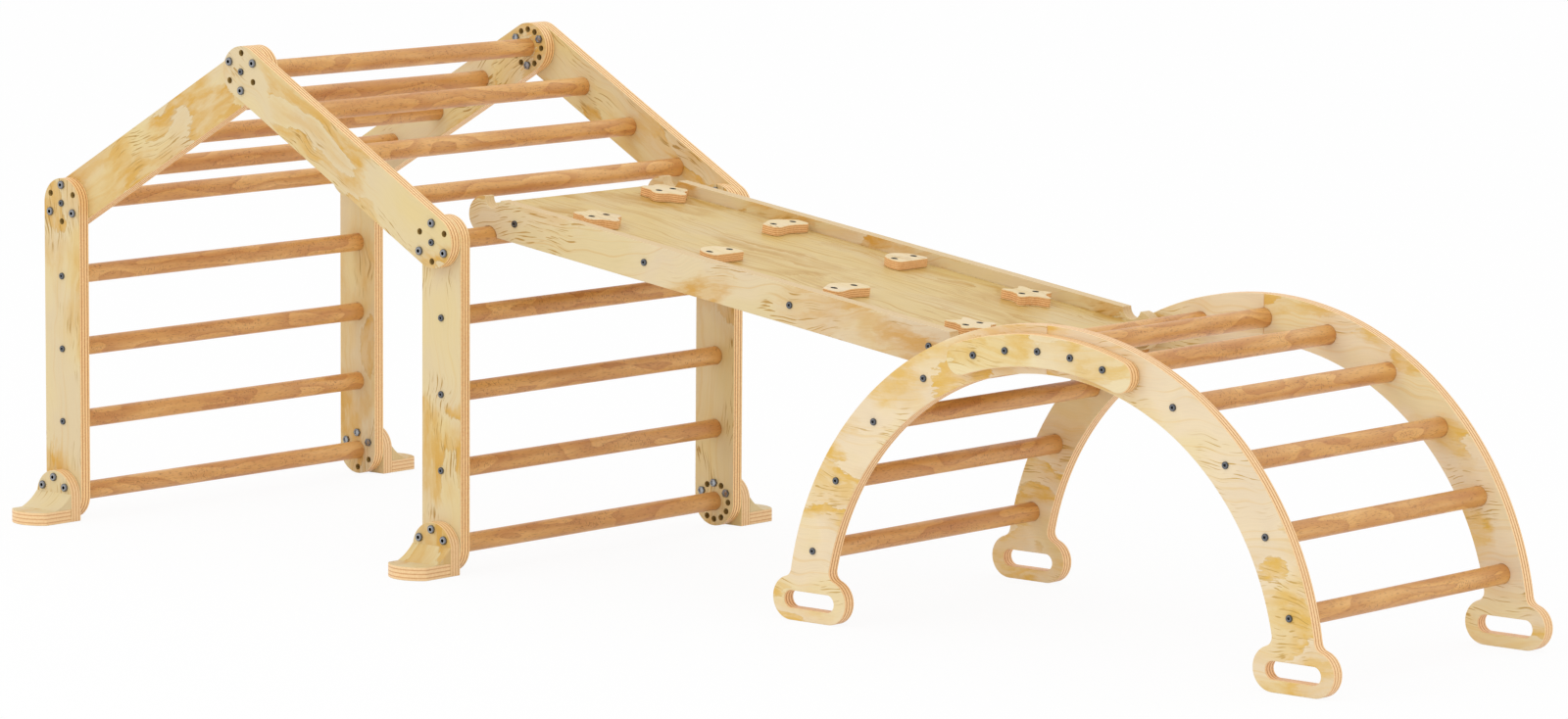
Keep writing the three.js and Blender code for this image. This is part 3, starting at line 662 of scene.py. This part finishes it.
def dowel(node, body, reach=None):
    """Rung with chamfered ends, in place of its CAD node. reach is half its length, where the node's box also
    holds pivot screws."""
    low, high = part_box(node)
    reach = reach or (high.y - low.y) / 2
    deselect()
    bpy.ops.mesh.primitive_cylinder_add(vertices=48, radius=rung_r, depth=2 * reach,
                                        rotation=(math.pi / 2, 0, 0))
    obj = fix_place(bpy.context.object)
    edit(obj)
    pick(obj, "edges", lambda c: abs(c.y) > reach - GRAB)
    bpy.ops.mesh.bevel(offset=CHAMFER, segments=1, affect="EDGES")
    done()
    smooth(obj)
    hand_over(obj, "dowel_" + node, Matrix.Translation(middle(node)), body, beech, node)


def rungs(ladder):
    """Middles of a ladder's three middle rungs."""
    return [at_y(middle(f"{ladder}_rung_{i}"), 0) for i in (1, 2, 3)]


def lock(name, side, point, directions, head, nut):
    """Bolts through two lapped boards. head and nut are each (body, depth of the face that it sits on)."""
    for degrees in directions:
        at = on_ring(point, degrees)
        label = f"{name}_{side}_{degrees}"
        for kind, (body, depth), way in (("lock_bolt", head, 1), ("lock_nut", nut, -1)):
            drive(kind, label, at_y(at, house_y(side, depth)), way * outward(side), body)


wall_right = rungs("right_wall")
wall_left = rungs("left_wall")
for side in SIDES:
    ladder_board(f"right_wall_post_{side}", side, "right_wall", INNER, right_foot, right_eave,
                 [right_foot, *wall_right, right_eave], [right_eave])
    ladder_board(f"left_wall_post_{side}", side, "left_wall", OUTER, left_foot, left_eave,
                 [left_foot, *wall_left], [left_eave])
    ladder_board(f"roof_left_rail_{side}", side, "roof_left", INNER, left_eave, ridge,
                 [left_eave, *rungs("roof_left"), ridge], [left_eave, ridge])
    ladder_board(f"roof_right_rail_{side}", side, "roof_right", OUTER, ridge, right_eave,
                 rungs("roof_right"), [ridge, right_eave])
    for name, point, angles, outer, inner in (
            ("ridge", ridge, RIDGE_LOCKS, "roof_right", "roof_left"),
            ("right_eave", right_eave, EAVE_LOCKS, "roof_right", "right_wall"),
            ("left_eave", left_eave, EAVE_LOCKS, "left_wall", "roof_left")):
        lock(name, side, point, angles, (outer, OUTER["v0"]), (inner, INNER["v1"]))
    for name, point, body in (("ridge", ridge, "roof_left"), ("left_eave", left_eave, "roof_left"),
                              ("right_eave", right_eave, "right_wall")):
        drive("screw", f"pivot_{name}_{side}", at_y(point, house_y(side, -GAP)), outward(side), body)
    for wall, points, layer in (("right_wall", wall_right, INNER), ("left_wall", wall_left, OUTER)):
        for i, point in enumerate(points):
            drive("screw", f"{wall}_{side}_{i + 1}", at_y(point, house_y(side, layer["v0"])), outward(side),
                  wall)

pivot_reach = house_half - INNER["v1"] + SEAT - GAP
for node, body in (("right_wall_rung_eave", "right_wall"), ("roof_left_rung_ridge", "roof_left"),
                   ("roof_left_rung_eave", "roof_left")):
    dowel(node, body, pivot_reach)
for part in ("right_wall", "left_wall", "roof_left", "roof_right"):
    for i in (1, 2, 3):
        dowel(f"{part}_rung_{i}", part)
dowel("right_wall_rung_bottom", "right_wall")
dowel("left_wall_rung_bottom", "left_wall")


# Feet: an upright board, a D-shaped base and a hollow-faced wedge, outside a post.

def foot(wall, side, point, layer):
    """The three glued boards of a foot, and the bolts that hold it."""
    out = outward(side)
    node = f"{wall}_foot_{side}"
    face = at_y(point, house_y(side, layer["v0"] - GAP - PLY))
    on_floor = Vector((face.x, face.y, 0))

    obj = stadium(POST_R, -2 * POST_R, 0)
    edit(obj)
    bpy.ops.mesh.bisect(plane_co=(-point.z, 0, 0), plane_no=(1, 0, 0), clear_inner=True)
    done()
    thicken(obj, PLY)
    finish_board(obj, f"upright_{node}", stand(face, UP, -out), wall, foot_birch, node)

    bulge = (POST_R ** 2 + BASE_BULGE ** 2) / (2 * BASE_BULGE)
    obj = disc(bulge, 96)
    edit(obj)
    bpy.ops.transform.translate(value=(BASE_SIDE + BASE_BULGE - bulge, 0, 0))
    for spot, inward in (((0, 0, 0), (1, 0, 0)), ((0, -POST_R, 0), (0, 1, 0)), ((0, POST_R, 0), (0, -1, 0))):
        bpy.ops.mesh.select_all(action="SELECT")
        bpy.ops.mesh.bisect(plane_co=spot, plane_no=inward, clear_inner=True)
    done()
    thicken(obj, PLY)
    finish_board(obj, f"base_{node}", stand(on_floor + UP * PLY, out, -UP), wall, foot_birch)

    chord = math.hypot(WEDGE_OUT, WEDGE_UP)
    hollow = (chord ** 2 / 4 + WEDGE_DIP ** 2) / (2 * WEDGE_DIP)
    rise = (hollow - WEDGE_DIP) / chord
    deselect()
    bpy.ops.mesh.primitive_cube_add(size=1, location=(WEDGE_OUT / 2, 0, WEDGE_UP / 2),
                                    scale=(WEDGE_OUT, 2 * POST_R, WEDGE_UP))
    obj = fix_place(bpy.context.object)
    deselect()
    bpy.ops.mesh.primitive_cylinder_add(
        vertices=160, radius=hollow, depth=3 * POST_R, rotation=(math.pi / 2, 0, 0),
        location=(WEDGE_OUT / 2 + rise * WEDGE_UP, 0, WEDGE_UP / 2 + rise * WEDGE_OUT))
    cut(obj, fix_place(bpy.context.object))
    smooth(obj)
    note_sheet(obj, all_face=True)
    hand_over(obj, f"wedge_{node}", stand(on_floor + UP * PLY, out, UP), wall, foot_birch)

    lock(wall + "_foot", side, point, FOOT_LOCKS, (wall, layer["v0"] - GAP - PLY), (wall, layer["v1"]))


for side in SIDES:
    foot("right_wall", side, right_foot, INNER)
    foot("left_wall", side, left_foot, OUTER)


# Arch, drawn about the centre of its rung circle on the floor, x along the floor and y up.

def arc(centre, radius, start, end, count):
    """Points along an arc, angles in radians."""
    return [(centre[0] + radius * math.cos(start + (end - start) * i / count),
             centre[1] + radius * math.sin(start + (end - start) * i / count)) for i in range(count + 1)]


def crossing(c1, r1, c2, r2):
    """Upper crossing of two circles: the centre of a fillet between two curves."""
    d = math.dist(c1, c2)
    t = (r1 ** 2 - r2 ** 2 + d ** 2) / (2 * d)
    h = math.sqrt(r1 ** 2 - t ** 2)
    ux, uy = (c2[0] - c1[0]) / d, (c2[1] - c1[1]) / d
    both = [(c1[0] + t * ux - s * h * uy, c1[1] + t * uy + s * h * ux) for s in (1, -1)]
    return max(both, key=lambda p: p[1])


def angle_to(a, b):
    """Direction from one point to another."""
    return math.atan2(b[1] - a[1], b[0] - a[0])


def half_rail_outline():
    """Right half of an arch rail with its handle, from the top joint round to the top joint."""
    outer, inner = ARCH_R + ARCH_RAIL_W / 2, ARCH_R - ARCH_RAIL_W / 2
    end_r, reach = HANDLE_H / 2, HANDLE_L / 2 - HANDLE_H / 2
    out_end, in_end = (HANDLE_X + reach, end_r), (HANDLE_X - reach, end_r)
    out_fillet = crossing((0, 0), outer + HANDLE_FILLET, out_end, end_r + HANDLE_FILLET)
    in_fillet = crossing((0, 0), inner - HANDLE_FILLET, in_end, end_r + HANDLE_FILLET)
    leg_out, leg_in = angle_to((0, 0), out_fillet), angle_to((0, 0), in_fillet)
    down, full = -math.pi / 2, 2 * math.pi
    return [
        *arc((0, 0), outer, math.acos(LAP / outer), leg_out, 60),
        *arc(out_fillet, HANDLE_FILLET, leg_out + math.pi, angle_to(out_fillet, out_end) + full, 12)[1:],
        *arc(out_end, end_r, angle_to(out_end, out_fillet), down, 28)[1:],
        *arc(in_end, end_r, down, angle_to(in_end, in_fillet) - full, 28),
        *arc(in_fillet, HANDLE_FILLET, angle_to(in_fillet, in_end), leg_in, 12)[1:],
        *arc((0, 0), inner, leg_in, math.acos(LAP / inner), 60)[1:],
    ]


def plate_outline():
    """Curved cover plate with round ends."""
    w = PLATE_W / 2
    low, high = math.pi / 2 - PLATE_ARC, math.pi / 2 + PLATE_ARC
    ends = {a: (ARCH_R * math.cos(a), ARCH_R * math.sin(a)) for a in (low, high)}
    return [
        *arc((0, 0), ARCH_R + w, low, high, 30),
        *arc(ends[high], w, high, high + math.pi, 24)[1:],
        *arc((0, 0), ARCH_R - w, high, low, 30)[1:],
        *arc(ends[low], w, low + math.pi, low + 2 * math.pi, 24)[1:-1],
    ]


def on_arch(k):
    """Place of the rung that is k rungs from the top."""
    return (ARCH_R * math.sin(k * ARCH_STEP), ARCH_R * math.cos(k * ARCH_STEP))


def arch_spot(k, y):
    """The same place in the frame, at a given y."""
    x, z = on_arch(k)
    return Vector((arch_x + x, y, z))


def arch_y(side, v):
    """y at a depth from the arch's outer face."""
    return arch_mid + SIDES[side] * (arch_half - v)


def arch_half_rail(end, side):
    """Half rail with its hand slot and rung seats."""
    mirror = 1 if end == "right" else -1
    flip = SIDES[side]
    obj = thicken(traced([(mirror * x, flip * y) for x, y in half_rail_outline()]), PLY)
    reach = (SLOT_L - SLOT_H) / 2
    slot = stadium(SLOT_H / 2, mirror * HANDLE_X - reach, mirror * HANDLE_X + reach,
                   flip * (HANDLE_H / 2 - SLOT_DROP), 48)
    thicken(slot, PLY + 4 * PAST).location.z = -2 * PAST
    cut(obj, fix_place(slot))
    ease(obj)
    seats = [(mirror * x, flip * y, rung_r + GAP) for x, y in (on_arch(k) for k in range(6))]
    cut(obj, bits(seats, PLY - SEAT, PLY + PAST, 48))
    smooth(obj)
    note_sheet(obj)
    place = stand(Vector((arch_x, arch_y(side, 0), 0)), RIGHT, -outward(side))
    node = f"arch_rail_{end}_{side}"
    hand_over(obj, "board_" + node, place, "arch", cream_birch, node)


def cover_plate(side):
    """Cover plate over the joint at the top of a rail."""
    obj = thicken(traced([(x, SIDES[side] * y) for x, y in plate_outline()]), PLY)
    place = stand(Vector((arch_x, arch_y(side, -GAP - PLY), 0)), RIGHT, -outward(side))
    node = f"arch_joint_plate_{side}"
    finish_board(obj, "board_" + node, place, "arch", plate_birch, node, PLATE_ARRIS)


for side in SIDES:
    for end in ("left", "right"):
        arch_half_rail(end, side)
    cover_plate(side)
    for i, k in enumerate(ARCH_SCREWS):
        face = -GAP - PLY if abs(k) <= 1 else 0
        drive("screw", f"arch_{side}_{i + 1}", arch_spot(k, arch_y(side, face)), outward(side), "arch")
dowel("arch_rung_top", "arch")
for end in ("left", "right"):
    for i in range(1, 6):
        dowel(f"arch_rung_{end}_{i}", "arch")


# Ramp

slope = math.atan2(right_eave.z - low_hook.z, low_hook.x - right_eave.x)
down_ramp = Vector((math.cos(slope), 0, -math.sin(slope)))
off_ramp = Vector((math.sin(slope), 0, math.cos(slope)))


def on_ramp(s, n, y):
    """Point at s down the ramp from the eave rung and n off the rails' lower edge."""
    return at_y(right_eave + down_ramp * s + off_ramp * n, y)


def ramp_y(side, v):
    """y at a depth from the ramp's outer face."""
    return ramp_mid + SIDES[side] * (ramp_half - v)


def ramp_rail(side):
    """Rail with a hook notch in both edges at both ends."""
    flip = SIDES[side]
    obj = thicken(stadium(RAIL_H / 2, -HEAD_SHIFT, HOOK_SPAN + HEAD_SHIFT, flip * RAIL_H / 2), PLY)
    notches = [(s, flip * n, NOTCH_R) for s in (0, HOOK_SPAN) for n in (-NOTCH_DROP, RAIL_H + NOTCH_DROP)]
    cut(obj, bits(notches, -PAST, PLY + PAST, 48))
    place = stand(on_ramp(0, 0, ramp_y(side, 0)), down_ramp, -outward(side))
    node = f"ramp_rail_{side}"
    finish_board(obj, "board_" + node, place, "ramp", rail_birch, node, skew=-GRAIN_SKEW * flip)
    for d in DECK_SCREWS:
        for label, s in (("upper", d), ("lower", HOOK_SPAN - d)):
            drive("screw", f"ramp_{side}_{label}_{d / MM:.0f}", on_ramp(s, RAIL_H / 2, ramp_y(side, 0)),
                  outward(side), "ramp")


def deck():
    """Deck board between the rails."""
    half = ramp_half - PLY - GAP
    deselect()
    bpy.ops.mesh.primitive_plane_add(size=1, location=(HOOK_SPAN / 2, 0, 0))
    obj = bpy.context.object
    obj.scale = (HOOK_SPAN + 2 * DECK_OVER, 2 * half, 1)
    thicken(fix_place(obj), PLY)
    place = stand(on_ramp(0, (RAIL_H + PLY) / 2, ramp_mid), down_ramp, -off_ramp)
    finish_board(obj, "board_ramp_deck", place, "ramp", straight_birch, "ramp_deck")


def hold_outline(kind):
    """Outline of a hold about its own centre, in mm: x down the ramp, y across it."""
    if kind in LOBED:
        turns = [2 * math.pi * i / 100 for i in range(100)]
        reach = [LOBED[kind]["mean"] + LOBED[kind]["lobe"] * math.cos(5 * a)
                 + LOBED[kind]["crease"] * math.cos(10 * a) for a in turns]
        return [(r * math.cos(a) * LOBED_SHAPE["along"], r * math.sin(a) * LOBED_SHAPE["across"])
                for a, r in zip(turns, reach)]
    if kind == "wave":
        ts = [-math.cos(math.pi * i / 40) for i in range(41)]
        blunt = [WAVE["tip"] + (1 - WAVE["tip"]) * math.sqrt(max(0, 1 - t ** 8)) for t in ts]
        edges = [[((mid + swing * math.cos(math.pi * t)) * b, WAVE["reach"] * t) for t, b in zip(ts, blunt)]
                 for mid, swing in ((WAVE["low"], -WAVE["dent"]), (-WAVE["high"], -WAVE["hump"]))]
        return edges[0] + edges[1][::-1]
    radius, corner = BLOCK["radius"], BLOCK["corner"]
    corner_x = BLOCK["flat"] - corner
    inset = corner_x - BLOCK["centre"]
    corner_y = math.sqrt((radius - corner) ** 2 - inset ** 2)
    meet, full = math.atan2(corner_y, inset), 2 * math.pi
    return [*arc((corner_x, corner_y), corner, 0, meet, 10),
            *arc((BLOCK["centre"], 0), radius, meet, full - meet, 48)[1:-1],
            *arc((corner_x, -corner_y), corner, full - meet, full, 10)]


def hold(side, kind, s):
    """Climbing hold with two sunk screws."""
    node = f"ramp_hold_{side}_{kind}"
    y = middle(node).y
    top = (RAIL_H + PLY) / 2 + GAP + HOLD_PLY
    obj = thicken(traced([(along * MM, -across * MM) for along, across in hold_outline(kind)]), HOLD_PLY)
    cut(obj, bits([(0, q * HOLD_SCREW_OFF[kind], SINK_R) for q in (-1, 1)], -PAST, SINK))
    place = stand(on_ramp(s, top, y), down_ramp, -off_ramp)
    finish_board(obj, "shape_" + node, place, "ramp", thin_birch, node)
    for label, q in SIDES.items():
        drive("hold_screw", f"{side}_{kind}_{label}", on_ramp(s, top - SINK, y + q * HOLD_SCREW_OFF[kind]),
              off_ramp, "ramp")


for side in SIDES:
    ramp_rail(side)
    row = HOLDS[side]
    step = (HOOK_SPAN - row["first"] - row["last"]) / (len(row["kinds"]) - 1)
    for i, kind in enumerate(row["kinds"]):
        hold(side, kind, row["first"] + i * step)
deck()

for pattern, _ in patterns.values():
    bpy.data.objects.remove(pattern)


# Studio: a pale floor that runs out of sight, a soft sky and one large lamp from the upper front left.

FLOOR_R = 60
FLOOR_DROP = 0.2 * MM
FLOOR_GLOW = 0.92                      # share of the lit floor in what the camera and shiny metal see
LAMP_PLACE = Vector((-1.5, -3.5, 3.2))
LAMP_AIM = Vector((0, 0, 0.2))
LAMP_SIZE = 2.5
LAMP_WATTS = 25


def pale_floor():
    """Matt white studio floor. The camera and shiny metal see it nearly shadowless, as in a studio with a lit
    floor."""
    material, tree, shader = new_material("pale_floor")
    shader.inputs["Base Color"].default_value = grey(0.9)
    shader.inputs["Roughness"].default_value = 1
    shader.inputs["Specular IOR Level"].default_value = 0
    seen = add_node(tree, "LightPath", out="Is Camera Ray")
    for ray in ("Is Glossy Ray", "Is Transmission Ray"):
        seen = add_node(tree, "Math", {0: seen, 1: add_node(tree, "LightPath", out=ray)}, operation="MAXIMUM")
    share = add_node(tree, "Math", {0: seen, 1: FLOOR_GLOW}, operation="MULTIPLY")
    white = add_node(tree, "Emission", {"Color": grey(1), "Strength": 1})
    lit = add_node(tree, "MixShader", {0: share, 1: shader.outputs[0], 2: white})
    tree.links.new(lit, tree.nodes["Material Output"].inputs["Surface"])
    return material


deselect()
bpy.ops.mesh.primitive_circle_add(vertices=64, radius=FLOOR_R, fill_type="NGON", location=(0, 0, -FLOOR_DROP))
floor = bpy.context.object
floor.name = "floor"
floor.data.materials.append(pale_floor())

world = bpy.data.worlds.new("studio_sky")
bpy.context.scene.world = world
world.use_nodes = True
sky = world.node_tree
sky.nodes["Background"].inputs["Color"].default_value = grey(1)
sky.nodes["Background"].inputs["Strength"].default_value = 1

deselect()
bpy.ops.object.light_add(type="AREA", location=LAMP_PLACE)
lamp = bpy.context.object
lamp.name = "soft_lamp"
lamp.data.shape = "SQUARE"
lamp.data.size = LAMP_SIZE
lamp.data.energy = LAMP_WATTS
lamp.rotation_euler = (LAMP_AIM - LAMP_PLACE).to_track_quat("-Z", "Y").to_euler()


# Camera, where the photograph was taken from: a long lens, with its frame shifted off its axis.

AZIMUTH, ELEVATION, ROLL = math.radians(41.224), math.radians(7.617), math.radians(0.2867)
CAMERA_PLACE = Vector((5367.8, -6330.4, 1366.8)) * MM
SENSOR_W, LENS = 36, 148.41            # as Blender counts them, in mm
SHIFT_X, SHIFT_Y = 0.0701, 0.0125
ahead = Vector((-math.sin(AZIMUTH) * math.cos(ELEVATION), math.cos(AZIMUTH) * math.cos(ELEVATION),
                -math.sin(ELEVATION)))
level = Vector((math.cos(AZIMUTH), math.sin(AZIMUTH), 0))
upright = level.cross(ahead)
cam_x = level * math.cos(ROLL) + upright * math.sin(ROLL)
cam_y = upright * math.cos(ROLL) - level * math.sin(ROLL)
deselect()
bpy.ops.object.camera_add()
camera = bpy.context.object
view = Matrix((cam_x, cam_y, -ahead)).transposed().to_4x4()
view.translation = CAMERA_PLACE
camera.matrix_world = view
camera.data.sensor_width = SENSOR_W
camera.data.lens = LENS
camera.data.shift_x = SHIFT_X
camera.data.shift_y = SHIFT_Y
camera.data.clip_end = 3 * FLOOR_R
bpy.context.scene.camera = camera
bpy.context.scene.view_settings.view_transform = "Standard"
